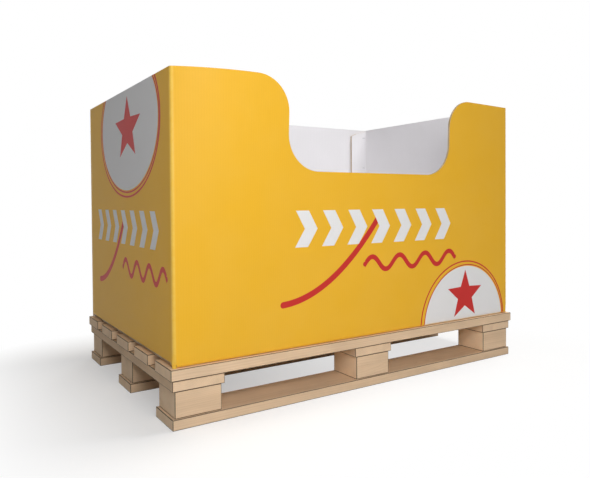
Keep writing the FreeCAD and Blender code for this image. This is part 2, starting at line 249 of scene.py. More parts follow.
def capRings(bm, rings):
    bm.faces.new(tuple(reversed(rings[0])))
    bm.faces.new(tuple(rings[-1]))


# carton: the folded blank. Lengths in metres, heights over the deck.

cartonLow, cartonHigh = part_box("printed_carton")
carton = {
    "halfX": cartonHigh[0],
    "halfY": cartonHigh[1],
    "deck": cartonLow[2],
    "height": cartonHigh[2] - cartonLow[2],
    "bow": -cartonLow[1] - cartonHigh[1],  # bulge of the front's top edge
    "crest": 0.200,  # where it bulges most, from the left corner
    "board": 0.007,
    "bend": 0.0078,  # outer radius of a fold
    "cutWidth": 0.590,
    "cutFloor": 0.464,
    "cutTopRadius": 0.090,
    "cutLowRadius": 0.095,
    "flapReach": 0.389,
    "flapRelief": 0.008,
    "layerGap": 0.0005,
    "seamStep": 0.001,
    "jointWidth": 0.079,  # joint flap, past its fold
    "jointDrop": 0.005,
    "jointFoot": 0.0185,
    "jointSlope": 0.012,
    "jointClip": (0.027, 0.012),
    "liner": 0.0004,
    "recess": 0.0035,  # how deep the cut edges are open between the liners
    "shutRecess": 0.0002,  # the same at the cut edges near the deck
    "slit": 0.001,  # beside each bottom flap, up to its fold
    "gridU": 0.020,  # mesh, along the blank and up it
    "gridV": 0.024,
    "foldSteps": 6,
    "arcSteps": 22,
    "sharpFrom": 35,  # degrees between two faces
    "same": 1e-6,  # corners nearer than this are one
    "merge": 1e-8,  # the same for the points of the mesh
    "edgeStep": 0.0008,  # shortest step along the outline
    "margin": 0.0012,  # inner points stay this far from the outline
}

foldLength = carton["bend"] * math.pi / 2
flapLength = carton["flapReach"] - carton["bend"]
sideBase = carton["board"] + carton["layerGap"]  # the side flaps lie on the other two
panelBase = {"back": 0.0, "left": sideBase, "front": 0.0, "right": sideBase}
panelNumbers = {"front": 1, "left": 2, "right": 3, "back": 4}


def straightRun(start, stop):
    start, stop = Vector(start), Vector(stop)
    along = (stop - start).normalized()
    outward = Vector((along.y, -along.x))
    return lambda t: (start.lerp(stop, t), outward)


def arcRun(centre, radius, first, last):
    def at(t):
        angle = math.radians(first + (last - first) * t)
        outward = Vector((math.cos(angle), math.sin(angle)))
        return Vector(centre) + radius * outward, outward
    return at


def planRuns():
    # the walls in plan, anticlockwise from the back wall's raw edge to the joint flap's end.
    # Each run has its flat length and its line at the foot and at the top.
    c = carton
    bend, bow = c["bend"], c["bow"]
    x, y = c["halfX"] - bend, c["halfY"] - bend
    crestX = c["crest"] - c["halfX"]
    jointY = c["halfY"] - c["board"] - c["layerGap"]
    raw = c["halfX"] - c["seamStep"]
    runs = []

    def bulge(reach):
        # centre, radius and turn of the front's top edge, between its crest and a corner
        radius = (reach ** 2 + bow ** 2 + 2 * bow * bend) / (2 * bow)
        turn = math.degrees(math.asin(reach / (radius - bend)))
        return (crestX, -c["halfY"] - bow + radius), radius, turn

    def addRun(name, length, foot, top=None):
        start = runs[-1]["end"] if runs else 0.0
        bent = name in ("fold", "jointFold")
        steps = c["foldSteps"] if bent else math.ceil(length / c["gridU"])
        runs.append({"name": name, "length": length, "start": start, "end": start + length,
                     "bent": bent, "steps": steps, "foot": foot, "top": top or foot})

    leftCentre, leftRadius, leftTurn = bulge(x + crestX)
    rightCentre, rightRadius, rightTurn = bulge(x - crestX)
    addRun("back", raw + x, straightRun((raw, c["halfY"]), (-x, c["halfY"])))
    addRun("fold", foldLength, arcRun((-x, y), bend, 90, 180))
    addRun("left", 2 * y, straightRun((-c["halfX"], y), (-c["halfX"], -y)))
    addRun("fold", foldLength, arcRun((-x, -y), bend, 180, 270),
           arcRun((-x, -y), bend, 180, 270 - leftTurn))
    addRun("front", x + crestX, straightRun((-x, -c["halfY"]), (crestX, -c["halfY"])),
           arcRun(leftCentre, leftRadius, 270 - leftTurn, 270))
    addRun("front", x - crestX, straightRun((crestX, -c["halfY"]), (x, -c["halfY"])),
           arcRun(rightCentre, rightRadius, 270, 270 + rightTurn))
    addRun("fold", foldLength, arcRun((x, -y), bend, 270, 360),
           arcRun((x, -y), bend, 270 + rightTurn, 360))
    addRun("right", y + jointY - bend, straightRun((c["halfX"], -y), (c["halfX"], jointY - bend)))
    addRun("jointFold", foldLength, arcRun((x, jointY - bend), bend, 0, 90))
    addRun("joint", c["jointWidth"], straightRun((x, jointY), (x - c["jointWidth"], jointY)))
    return runs


blankRuns = planRuns()


def runsNamed(name):
    return [run for run in blankRuns if run["name"] == name]


def runAt(u):
    for run in blankRuns:
        if u <= run["end"]:
            return run
    return blankRuns[-1]


def flapSpan(panel):
    # first and last place of a panel's bottom flap, along the blank
    runs = runsNamed(panel)
    inset = carton["flapRelief"] - carton["bend"] + (carton["board"] if panel in ("left", "right") else 0)
    inset = max(inset, 0) + carton["slit"]
    first = runs[0]["start"] + (carton["board"] if panel == "back" else inset)
    return first, runs[-1]["end"] - inset


def foldedPoint(u, v, depth):
    # a place on the flat blank, and a depth under its printed face, to the folded box
    run = runAt(u)
    t = min(max((u - run["start"]) / run["length"], 0), 1)
    footPoint, footOut = run["foot"](t)
    base = panelBase.get(run["name"], 0.0)
    bend = carton["bend"]
    foldTop = base + bend
    span = flapSpan(run["name"]) if run["name"] in panelBase else (1, 0)
    inFlap = span[0] - carton["same"] <= u <= span[1] + carton["same"]
    if v >= foldTop or not inFlap:
        topPoint, topOut = run["top"](t)
        rise = max(v - foldTop, 0) / (carton["height"] - foldTop)
        spot = (footPoint - footOut * depth).lerp(topPoint - topOut * depth, rise)
        return Vector((spot.x, spot.y, carton["deck"] + v))
    past = foldTop - v
    if past < foldLength:
        angle = past / bend
        inward = bend - (bend - depth) * math.cos(angle)
        level = foldTop - (bend - depth) * math.sin(angle)
    else:
        inward = bend + past - foldLength
        level = base + depth
    spot = footPoint - footOut * inward
    return Vector((spot.x, spot.y, carton["deck"] + level))


def arcPoints(centre, radius, first, last, steps):
    angles = [math.radians(first + (last - first) * k / steps) for k in range(steps + 1)]
    return [(centre[0] + radius * math.cos(a), centre[1] + radius * math.sin(a)) for a in angles]


def panelFoot(panel):
    # corners along the foot of one wall, round its bottom flap and to the next wall
    runs = runsNamed(panel)
    first, last = flapSpan(panel)
    slit, base = carton["slit"], panelBase[panel]
    foldTop = base + carton["bend"]
    reach = foldTop - foldLength - flapLength
    corners = [(runs[0]["start"], base), (first - slit, base), (first - slit, foldTop), (first, foldTop),
               (first, reach), (last, reach), (last, foldTop)]
    if panel != "right":
        end = runs[-1]["end"]
        corners += [(last + slit, foldTop), (last + slit, base), (end, base), (end, 0.0),
                    (end + foldLength, 0.0)]
    return [(u, v, carton["shutRecess"]) for u, v in corners]


def jointEdge():
    # corners round the joint flap, from the right wall's foot to its top
    c = carton
    shut, wide = c["shutRecess"], c["recess"]
    joint, wallEnd = blankRuns[-1], runsNamed("right")[0]["end"]
    clipU, clipFall = c["jointClip"]
    low, high = c["jointFoot"], c["height"] - c["jointDrop"]
    return [(wallEnd, panelBase["right"] + c["bend"], shut), (wallEnd, low, shut),
            (joint["start"], low, wide), (joint["end"] - clipU, low + c["jointSlope"], wide),
            (joint["end"], low + c["jointSlope"] + clipFall, wide),
            (joint["end"], high - c["jointSlope"] - clipFall, wide),
            (joint["end"] - clipU, high - c["jointSlope"], wide),
            (joint["start"], high, wide), (wallEnd, high, wide), (wallEnd, c["height"], wide)]


def cutOut():
    # corners of the front's cut-out, from right to left
    c = carton
    middle = runsNamed("front")[0]["start"] + c["halfX"] - c["bend"]
    half, upper, lower = c["cutWidth"] / 2, c["cutTopRadius"], c["cutLowRadius"]
    shoulder, hollow = c["height"] - upper, c["cutFloor"] + lower
    brow, level = half + upper, half - lower
    steps = c["arcSteps"]
    outline = (arcPoints((brow, shoulder), upper, 90, 180, steps)
               + arcPoints((level, hollow), lower, 0, -90, steps)
               + arcPoints((-level, hollow), lower, -90, -180, steps)
               + arcPoints((-brow, shoulder), upper, 0, 90, steps))
    return [(middle + x, z, c["recess"]) for x, z in outline]


def blankOutline():
    # corners of the flat blank, each with how deep the cut edge is open there. It runs along
    # the bottom from the raw edge to the joint flap, and back along the top.
    corners = []
    for panel in panelBase:
        corners += panelFoot(panel)
    corners += jointEdge() + cutOut() + [(0.0, carton["height"], carton["recess"])]
    return tidyLoop(corners)


def tidyLoop(corners):
    # leaves out corners that repeat the one before
    kept = []
    for corner in corners:
        if not kept or (Vector(corner[:2]) - Vector(kept[-1][:2])).length > carton["same"]:
            kept.append(corner)
    if (Vector(kept[0][:2]) - Vector(kept[-1][:2])).length < carton["same"]:
        kept.pop()
    return kept


def divideLoop(corners):
    # adds points along the straight stretches, so that the edge can follow the bends
    columns = sorted({round(u, 6) for u in columnsOfBlank()})
    gap = carton["edgeStep"]
    loop = []
    for index, corner in enumerate(corners):
        following = corners[(index + 1) % len(corners)]
        a, b = Vector(corner[:2]), Vector(following[:2])
        loop.append(corner)
        upright = abs(b.x - a.x) <= carton["same"]
        marks = levelsOfBlank(runAt(a.x)["name"]) if upright else columns
        start, stop = (a.y, b.y) if upright else (a.x, b.x)
        low, high = sorted((start, stop))
        spots = [(mark - start) / (stop - start) for mark in marks if low + gap < mark < high - gap]
        for t in sorted(spots):
            spot = a.lerp(b, t)
            loop.append((spot.x, spot.y, min(corner[2], following[2])))
    return loop


def columnsOfBlank():
    return [run["start"] + run["length"] * k / run["steps"]
            for run in blankRuns for k in range(run["steps"] + 1)]


def levelsOfBlank(name):
    base = panelBase.get(name, 0.0)
    foldTop = base + carton["bend"]
    rise = carton["height"] - foldTop
    count = math.ceil(rise / carton["gridV"])
    levels = [foldTop + rise * k / count for k in range(1, count)]
    if name in panelBase:
        folds = carton["foldSteps"]
        levels += [foldTop - foldLength * k / folds for k in range(folds + 1)]
        drops = math.ceil(flapLength / carton["gridV"])
        levels += [foldTop - foldLength - flapLength * k / drops for k in range(1, drops)]
    return levels


def insidePoints(loop):
    # grid points of the blank that lie inside its outline and clear of it
    spots = []
    for run in blankRuns:
        levels = levelsOfBlank(run["name"])
        for k in range(run["steps"]):
            spots += [(run["start"] + run["length"] * k / run["steps"], v) for v in levels]
    points = np.array(spots)
    start = np.array([corner[:2] for corner in loop])
    stop = np.roll(start, -1, axis=0)
    away = np.full(len(points), np.inf)
    crossings = np.zeros(len(points), dtype=int)
    for a, b in zip(start, stop):
        along = b - a
        t = np.clip(((points - a) @ along) / (along @ along), 0, 1)
        away = np.minimum(away, np.hypot(*(points - a - t[:, None] * along).T))
        spans = (a[1] > points[:, 1]) != (b[1] > points[:, 1])
        if spans.any():
            cut = a[0] + along[0] * (points[:, 1] - a[1]) / along[1]
            crossings += spans & (points[:, 0] < cut)
    return [tuple(p) for p in points[(crossings % 2 == 1) & (away > carton["margin"])]]


def insetLoop(loop):
    # the outline moved inwards by each corner's own recess
    inset = []
    for index, (u, v, recess) in enumerate(loop):
        before, after = Vector(loop[index - 1][:2]), Vector(loop[(index + 1) % len(loop)][:2])
        here = Vector((u, v))
        first, second = (here - before).normalized(), (after - here).normalized()
        normals = Vector((-first.y, first.x)), Vector((-second.y, second.x))
        across = (normals[0] + normals[1]).normalized()
        # a sharp corner moves at most twice as far
        stretch = 1 / max(across.dot(normals[0]), 0.5)
        inset.append(tuple(here + across * recess * stretch))
    return inset


def panelNumber(run, v):
    return panelNumbers.get(run["name"], 0) if v > panelBase.get(run["name"], 0) else 0


def onFold(u, v):
    # 1 on the line of a fold, 0 at its sides
    run = runAt(u)
    middle = (run["start"] + run["end"]) / 2
    upright = 1 - abs(u - middle) * 2 / foldLength if run["bent"] else 0
    level = panelBase.get(run["name"], 0) + carton["bend"] - foldLength / 2
    across = 1 - abs(v - level) * 2 / foldLength if run["name"] in panelBase else 0
    return max(upright, across, 0)


def buildCarton():
    loop = divideLoop(blankOutline())
    inner = insidePoints(loop)
    count = len(loop)
    flat = [Vector(corner[:2]) for corner in loop] + [Vector(spot) for spot in inner]
    edges = [(k, (k + 1) % count) for k in range(count)]
    places, _, triangles, *_ = delaunay_2d_cdt(flat, edges, [list(range(count))], 1, carton["merge"])
    print("blank:", count, "corners,", len(places), "points,", len(triangles), "triangles")
    bm = bmesh.new()
    panelLayer = bm.faces.layers.float.new("panel")
    acrossLayer = bm.verts.layers.float.new("across")
    foldLayer = bm.verts.layers.float.new("fold")

    def addVert(u, v, depth):
        vert = bm.verts.new(foldedPoint(u, v, depth))
        vert[acrossLayer] = u
        vert[foldLayer] = onFold(u, v)
        return vert

    board, liner = carton["board"], carton["liner"]
    outer = [addVert(p.x, p.y, 0) for p in places]
    under = [addVert(p.x, p.y, board) for p in places]
    for triangle in triangles:
        middle = sum((places[k] for k in triangle), Vector((0, 0))) / 3
        number = panelNumber(runAt(middle.x), middle.y)
        printed, plain = [outer[k] for k in triangle], [under[k] for k in reversed(triangle)]
        for material, verts in enumerate((printed, plain)):
            face = bm.faces.new(verts)
            face.material_index = material
            face[panelLayer] = number
            face.smooth = True
    # the cut edge: two liners standing up with an open channel between them
    inset = insetLoop(loop)
    rings = [outer[:count]]
    for spots, depth in ((loop, liner), (inset, liner), (inset, board - liner), (loop, board - liner)):
        rings.append([addVert(spot[0], spot[1], depth) for spot in spots])
    rings.append(under[:count])
    for face in joinRings(bm, rings[::-1]):
        face.material_index = 2
    bm.normal_update()
    mesh = finishMesh(bm, "printedCarton")
    mesh.set_sharp_from_angle(angle=math.radians(carton["sharpFrom"]))
    return mesh, loop


fluting = {
    "outer": {"low": 0.0004, "high": 0.0029, "pitch": 0.0063},
    "inner": {"low": 0.0032, "high": 0.0066, "pitch": 0.0079},
    "middleLiner": (0.0029, 0.0032),
    "paper": 0.00028,
    "steps": 8,  # along each wave
    "sunk": 0.0001,  # the papers end this far under the cut
    "longStep": 0.006,
}


def edgeSamples(loop, step):
    # points along the open cut edges, close together where the edge crosses the flutes
    inset = insetLoop(loop)
    chains = [[]]
    for index in range(len(loop)):
        after = (index + 1) % len(loop)
        if min(loop[index][2], loop[after][2]) <= carton["shutRecess"]:
            chains.append([])
            continue
        a, b = Vector(loop[index][:2]), Vector(loop[after][:2])
        c, d = Vector(inset[index]), Vector(inset[after])
        pieces = max(math.ceil(abs(b.x - a.x) / step), math.ceil((b - a).length / fluting["longStep"]))
        chains[-1] += [(a.lerp(b, k / pieces), c.lerp(d, k / pieces)) for k in range(pieces)]
    return [chain for chain in chains if chain]


def addRibbon(bm, chain, centre, thickness):
    # a strip of paper, closed all round, that stands in the cut edge
    rows = []
    for rim, root in chain:
        rim = rim.lerp(root, fluting["sunk"] / carton["recess"])
        row = []
        for spot in (rim, root):
            depth, slope = centre(spot.x)
            lean = math.sqrt(1 + slope * slope)
            for side in (-0.5, 0.5):
                row.append(bm.verts.new(foldedPoint(
                    spot.x - side * thickness * slope / lean, spot.y, depth + side * thickness / lean)))
        rows.append((row[0], row[1], row[3], row[2]))
    joinRings(bm, rows)
    capRings(bm, rows)


def buildFluting(loop):
    bm = bmesh.new()
    for wave in (fluting["outer"], fluting["inner"]):
        middle = (wave["low"] + wave["high"]) / 2
        swing = (wave["high"] - wave["low"] - fluting["paper"]) / 2
        turn = 2 * math.pi / wave["pitch"]

        def centre(u, middle=middle, swing=swing, turn=turn):
            return middle + swing * math.sin(turn * u), swing * turn * math.cos(turn * u)

        for chain in edgeSamples(loop, wave["pitch"] / fluting["steps"]):
            addRibbon(bm, chain, centre, fluting["paper"])
    low, high = fluting["middleLiner"]
    for chain in edgeSamples(loop, fluting["longStep"]):
        addRibbon(bm, chain, lambda u: ((low + high) / 2, 0.0), high - low)
    bmesh.ops.recalc_face_normals(bm, faces=bm.faces)
    return finishMesh(bm, "edgeFluting")


# print on the carton, in metres: x along the wall from its middle, z over the deck

ink = {
    "yellow": screenColour(247, 189, 46),
    "yellowWorn": screenColour(250, 206, 104),
    # worn ink on the folds, lighter also as a painted highlight
    "rubAndHighlight": screenColour(255, 216, 104),
    "red": screenColour(208, 50, 46),
    "white": screenColour(243, 242, 242),
    "edge": 0.0004,  # softness of a printed edge
    "wornClouds": (9.0, 3.0),  # cells to the metre and detail
    "wornShare": 0.10,
    "rubHighlightFade": (0.0062, 0.0092),  # distance from a corner over which the rubbed ink and its painted highlight fade
    "rubHighlightFold": (0.2, 0.9),  # the same up to a fold's middle, as a share of the way
    "rubHighlightClouds": (60.0, 4.0, 0.65),  # cells to the metre, detail and roughness
    "rubHighlightPatches": (0.6, 1.0, 0.35, 0.6),  # strength from low to high, and the cloud's values there
    "rubHighlightShare": 0.62,
    "grain": (420.0, 2.0),
    "bands": (0.985, 1.0),  # shade between the flutes and on them
    "fluteRise": 0.55,
    "grainRise": 0.35,
    "relief": (0.00012, 0.5),  # height and strength
    "rough": (0.46, 0.60),
    "foldGloss": 0.24,
    "specular": 0.22,
}

frontPrint = {
    "disc": ((0.381, -0.004), (0.178, 0.178)),
    "rings": [((0.3835, -0.0035), (0.1800, 0.1815), 0.0032), ((0.3790, -0.001), (0.1895, 0.1905), 0.0044)],
    "star": ((0.381, 0.080), (0.082, 0.082)),
    "arrowsFrom": -0.262,
    "arrowPitch": 0.0846,
    "arrowMiddle": 0.314,
    "sweep": (-0.315, 0.118, 2.1, -0.300, 0.012),  # lowest place, rise, first and last x
    "waves": (0.208, 0.019, 0.104, -0.035, 0.331),  # middle, height, pitch, first and last x
}

sidePrint = {
    "disc": ((0.040, 0.600), (0.264, 0.180)),
    "rings": [((0.043, 0.598), (0.268, 0.1835), 0.0046), ((0.040, 0.599), (0.279, 0.197), 0.0056)],
    "star": ((0.045, 0.590), (0.125, 0.092)),
    "arrowsFrom": -0.285,
    "arrowPitch": 0.0871,
    "arrowMiddle": 0.316,
    "sweep": (-0.290, 0.140, 2.3, -0.270, 0.010),
    "waves": (0.204, 0.021, 0.104, -0.010, 0.355),
}

motif = {
    "arrowCount": 7,
    "arrowHalf": 0.048,
    "arrowThick": 0.040,
    "arrowLean": 0.6,
    "starTips": 5,
    "starWaist": 0.42,  # radius between the tips, as a share
    "sweepWidth": 0.017,
    "waveWidth": 0.014,
}


def printMasks(s, x, z, design):
    # white shapes and red shapes of one wall's print
    soft = ink["edge"]

    def ellipse(place, size):
        # distance from an ellipse, close to true near its edge
        across = s.calc("DIVIDE", s.sub(x, place[0]), size[0] / size[1])
        return s.sub(s.reach(across, s.sub(z, place[1])), size[1])

    disc = s.inside(ellipse(*design["disc"]), soft)
    rings = None
    for place, size, width in design["rings"]:
        ring = s.inside(s.sub(s.size(ellipse(place, size)), width / 2), soft)
        rings = ring if rings is None else s.either(rings, ring)

    place, size = design["star"]
    starX = s.calc("DIVIDE", s.sub(x, place[0]), size[0] / size[1])
    starZ = s.sub(z, place[1])
    halfTip = math.pi / motif["starTips"]
    point = s.calc("PINGPONG", s.size(s.calc("ARCTAN2", starX, starZ)), halfTip)
    away = s.reach(starX, starZ)
    tip = Vector((size[1], 0))
    waist = Vector((math.cos(halfTip), math.sin(halfTip))) * size[1] * motif["starWaist"]
    out = Vector((waist.y - tip.y, tip.x - waist.x)).normalized()
    along = s.mul(s.mul(away, s.calc("COSINE", point)), out.x)
    side = s.mul(s.mul(away, s.calc("SINE", point)), out.y)
    star = s.inside(s.sub(s.add(along, side), out.dot(tip)), soft)

    high = s.size(s.sub(z, design["arrowMiddle"]))
    leaned = s.sub(s.add(x, s.mul(high, motif["arrowLean"])), design["arrowsFrom"])
    pitch = design["arrowPitch"]
    cell = s.size(s.sub(s.calc("MODULO", leaned, pitch), pitch / 2))
    span = pitch * motif["arrowCount"]
    row = s.both(s.inside(s.sub(s.size(s.sub(leaned, span / 2)), span / 2), soft),
                 s.inside(s.sub(high, motif["arrowHalf"]), soft))
    arrows = s.both(row, s.inside(s.sub(cell, motif["arrowThick"] / 2), soft))

    def stroke(level, slope, first, last, width):
        # a brush line of even width with round ends; first and last are (x, z)
        lean = s.calc("SQRT", s.add(s.mul(slope, slope), 1.0))
        line = s.inside(s.sub(s.calc("DIVIDE", s.size(s.sub(z, level)), lean), width / 2), soft)
        middle, half = (first[0] + last[0]) / 2, (last[0] - first[0]) / 2
        line = s.both(line, s.inside(s.sub(s.size(s.sub(x, middle)), half), soft))
        for end in (first, last):
            dot = s.reach(s.sub(x, end[0]), s.sub(z, end[1]))
            line = s.either(line, s.inside(s.sub(dot, width / 2), soft))
        return line

    lowX, lowZ, rise, first, last = design["sweep"]
    off = s.sub(x, lowX)
    ends = [(end, lowZ + rise * (end - lowX) ** 2) for end in (first, last)]
    level = s.add(s.mul(s.mul(off, off), rise), lowZ)
    sweep = stroke(level, s.mul(off, 2 * rise), *ends, motif["sweepWidth"])
    middle, swing, pitch, first, last = design["waves"]
    turn = 2 * math.pi / pitch
    phase = s.mul(s.sub(x, first), turn)
    last = first + round((last - first) / pitch * 2) * pitch / 2  # a whole number of half waves
    level = s.add(s.mul(s.calc("SINE", phase), swing), middle)
    slope = s.mul(s.calc("COSINE", phase), swing * turn)
    waves = stroke(level, slope, (first, middle), (last, middle), motif["waveWidth"])
    strokes = s.mul(s.either(sweep, waves), s.sub(1.0, arrows))
    red = s.either(s.either(star, rings), strokes)
    return s.either(disc, arrows), red


def printedLiner():
    s = Shader("printedLiner")
    spot = s.place()
    x, y, z = s.split(spot)
    high = s.sub(z, carton["deck"])
    panel = s.attribute("panel")
    white, red = printMasks(s, x, high, frontPrint)
    sideWhite, sideRed = printMasks(s, s.mul(y, -1.0), high, sidePrint)
    # the last number is how far off the panel's number may be
    onFront, onLeft = (s.calc("COMPARE", panel, panelNumbers[wall], 0.1) for wall in ("front", "left"))
    white = s.either(s.mul(white, onFront), s.mul(sideWhite, onLeft))
    red = s.either(s.mul(red, onFront), s.mul(sideRed, onLeft))
    worn = s.spread(s.cloud(spot, *ink["wornClouds"]), 0.0, 1.0, *cloudRange)
    colour = s.tint(s.mul(worn, ink["wornShare"]), ink["yellow"], ink["yellowWorn"])
    colour = s.tint(white, colour, ink["white"])
    colour = s.tint(red, colour, ink["red"])
    # the ink is rubbed thin along the folds and painted lighter there as a highlight, a few mm onto the
    # flat walls too
    fromCorner = s.add(s.sub(carton["halfX"], s.size(x)), s.either(s.sub(carton["halfY"], s.size(y)), 0.0))
    fold = s.either(s.attribute("fold"), s.spread(fromCorner, 1.0, 0.0, *ink["rubHighlightFade"]))
    patchy = s.spread(s.cloud(spot, *ink["rubHighlightClouds"]), *ink["rubHighlightPatches"])
    rubAndHighlight = s.mul(s.spread(fold, 0.0, 1.0, *ink["rubHighlightFold"]), patchy)
    colour = s.tint(s.mul(rubAndHighlight, ink["rubHighlightShare"]), colour, ink["rubAndHighlight"])
    # the flutes show through the liner as faint upright bands
    flute = s.calc("SINE", s.mul(s.attribute("across"), 2 * math.pi / fluting["outer"]["pitch"]))
    grain = s.cloud(spot, *ink["grain"])
    colour = s.shade(colour, s.spread(flute, *ink["bands"], -1.0, 1.0))
    s.relief(s.add(s.mul(flute, ink["fluteRise"]), s.mul(grain, ink["grainRise"])), *ink["relief"])
    rough = s.sub(s.spread(grain, *ink["rough"]), s.mul(fold, ink["foldGloss"]))
    return s.finish(colour, rough, ink["specular"])


plainSide = {
    "light": screenColour(240, 238, 240),
    "dark": screenColour(232, 230, 231),
    "patches": (5.0, 3.0),  # cells to the metre and detail
    "patchShare": 0.5,
    "fibreLong": (1.0, 1.0, 0.35),  # the fibres run upright
    "fibres": (260.0, 3.0, 0.6),
    "fluteShade": 0.4,
    "shade": (0.965, 1.0, -0.2, 1.2),  # from low to high, and where it is low and high
    "fluteRise": 0.6,
    "fibreRise": 0.5,
    "relief": (0.00016, 0.6),
    "rough": 0.72,
    "specular": 0.2,
}


def whiteLiner():
    s = Shader("whiteLiner")
    spot = s.place()
    flute = s.calc("SINE", s.mul(s.attribute("across"), 2 * math.pi / fluting["inner"]["pitch"]))
    fibres = s.cloud(s.stretch(spot, plainSide["fibreLong"]), *plainSide["fibres"])
    patches = s.spread(s.cloud(spot, *plainSide["patches"]), 0.0, 1.0, *cloudRange)
    colour = s.tint(s.mul(patches, plainSide["patchShare"]), plainSide["light"], plainSide["dark"])
    shade = s.spread(s.add(s.mul(flute, plainSide["fluteShade"]), fibres), *plainSide["shade"])
    height = s.add(s.mul(flute, plainSide["fluteRise"]), s.mul(fibres, plainSide["fibreRise"]))
    s.relief(height, *plainSide["relief"])
    return s.finish(s.shade(colour, shade), plainSide["rough"], plainSide["specular"])


paper = {
    # light and dark
    "cutEdge": (screenColour(228, 217, 200), screenColour(202, 188, 168)),
    "fluteMedium": (screenColour(216, 192, 156), screenColour(188, 162, 126)),
    "fibres": (700.0, 3.0, 0.65),
    "patches": (30.0, 2.0),
    "relief": (0.0001, 0.6),
    "rough": 0.85,
    "specular": 0.15,
}


def rawPaper(name):
    s = Shader(name)
    spot = s.place()
    light, dark = paper[name]
    fibres = s.cloud(spot, *paper["fibres"])
    share = s.spread(s.add(fibres, s.cloud(spot, *paper["patches"])), 0.0, 1.0, *pairRange)
    s.relief(fibres, *paper["relief"])
    return s.finish(s.tint(share, dark, light), paper["rough"], paper["specular"])


mesh, cartonLoop = buildCarton()
printedCarton = newObject("printedCarton", mesh, [printedLiner(), whiteLiner(), rawPaper("cutEdge")])
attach(printedCarton, "root")
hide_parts("printed_carton")
edgeFluting = newObject("edgeFluting", buildFluting(cartonLoop), [rawPaper("fluteMedium")])
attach(edgeFluting, "root")
print("carton:", len(printedCarton.data.polygons), "faces, fluting:",
      len(edgeFluting.data.polygons), "faces")


# wire stitches of the corner joint, in metres

stitches = {
    "count": 5,
    "width": 0.002,
    "thick": 0.0008,
    "bend": 0.0014,
    "gap": 0.0007,  # from a leg's end to the stitch's middle
    "steps": 5,  # of a bend
    "edgeSteps": 4,  # of a rounded edge
}


def roundedPath(corners, radius, steps):
    path = [Vector(corners[0])]
    for before, corner, after in zip(corners, corners[1:], corners[2:]):
        corner = Vector(corner)
        first, second = (Vector(before) - corner).normalized(), (Vector(after) - corner).normalized()
        centre = corner + (first + second) * radius
        for k in range(steps + 1):
            angle = math.pi / 2 * k / steps
            path.append(centre - second * radius * math.cos(angle) - first * radius * math.sin(angle))
    return path + [Vector(corners[-1])]


def wireSection():
    # a flat wire's outline with rounded edges
    rise = stitches["thick"] / 2
    off = stitches["width"] / 2 - rise
    steps = stitches["edgeSteps"]
    return arcPoints((off, 0), rise, -90, 90, steps) + arcPoints((-off, 0), rise, 90, 270, steps)


def buildStitches():
    low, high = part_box("joint_stitches")
    middle, half = (low[0] + high[0]) / 2, (high[0] - low[0]) / 2
    inset = stitches["thick"] / 2
    front, back, side = low[1] + inset, high[1] - inset, half - inset
    gap = stitches["gap"]
    corners = [(middle - gap, back), (middle - side, back), (middle - side, front),
               (middle + side, front), (middle + side, back), (middle + gap, back)]
    path = roundedPath(corners, stitches["bend"], stitches["steps"])
    section = wireSection()
    top = high[2] - stitches["width"] / 2
    pitch = (high[2] - low[2] - stitches["width"]) / (stitches["count"] - 1)
    bm = bmesh.new()
    for number in range(stitches["count"]):
        level = top - pitch * number
        rings = []
        for index, point in enumerate(path):
            along = (path[min(index + 1, len(path) - 1)] - path[max(index - 1, 0)]).normalized()
            across = Vector((-along.y, along.x))
            rings.append([bm.verts.new((point.x + across.x * b, point.y + across.y * b, level + a))
                          for a, b in section])
        for face in joinRings(bm, rings):
            face.smooth = True
        capRings(bm, rings)
    bmesh.ops.recalc_face_normals(bm, faces=bm.faces)
    return finishMesh(bm, "jointStitches")


steel = {
    # light, dark and roughness
    "galvanisedWire": (screenColour(206, 208, 212), screenColour(168, 170, 175), 0.34),
    "nailSteel": (screenColour(150, 150, 152), screenColour(118, 117, 118), 0.42),
    "spangle": (900.0, 2.0),  # cells to the metre and detail
    "drawn": (400.0, 400.0, 2600.0),  # cells to the metre of the drawing marks
    "roughSwing": 0.08,
    "relief": (0.00003, 0.5),
    "specular": 0.5,
}


def wireSteel(name):
    s = Shader(name)
    spot = s.place()
    light, dark, rough = steel[name]
    spangle = s.cloud(spot, *steel["spangle"])
    drawn = s.cloud(s.stretch(spot, steel["drawn"]), 1.0, 2.0)
    colour = s.tint(s.spread(s.add(spangle, drawn), 0.0, 1.0, *pairRange), dark, light)
    s.surface.inputs["Metallic"].default_value = 1.0
    s.relief(drawn, *steel["relief"])
    swing = steel["roughSwing"]
    return s.finish(colour, s.spread(spangle, rough - swing, rough + swing), steel["specular"])


jointStitches = newObject("jointStitches", buildStitches(), [wireSteel("galvanisedWire")])
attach(jointStitches, "root")
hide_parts("joint_stitches")
print("stitches:", len(jointStitches.data.polygons), "faces")


# pallet timbers, in metres

timbers = {
    "shy": 0.0003,  # every face lies at least this far inside the CAD timber
    "edge": 0.0016,
    "edgeSegments": 2,
    "edgeProfile": 0.6,
    "sag": 0.0003,  # unevenness of the sawn faces
    "sagCells": 9,  # its waves to the metre
    "sagShift": 40,  # each timber's waves are taken from another place, this far off at most
    "faceDepth": 0.002,  # points this near to a face follow it
    "sliceEvery": 0.045,
    "headRadius": 0.0041,
    "headDepth": 0.0016,
    "headSides": 20,
    "headRim": 0.0002,  # points this near to a CAD head's top are its rim
    "headApart": 0.02,  # two heads' points lie further apart
    "pithAlong": 30,  # where in its log a timber was sawn
    "pithAcross": 0.07,
    "pithAway": (0.03, 0.10),
    "endFacing": 0.9,  # a face that looks along the grain at least this much is an end
    "seed": 41,
}


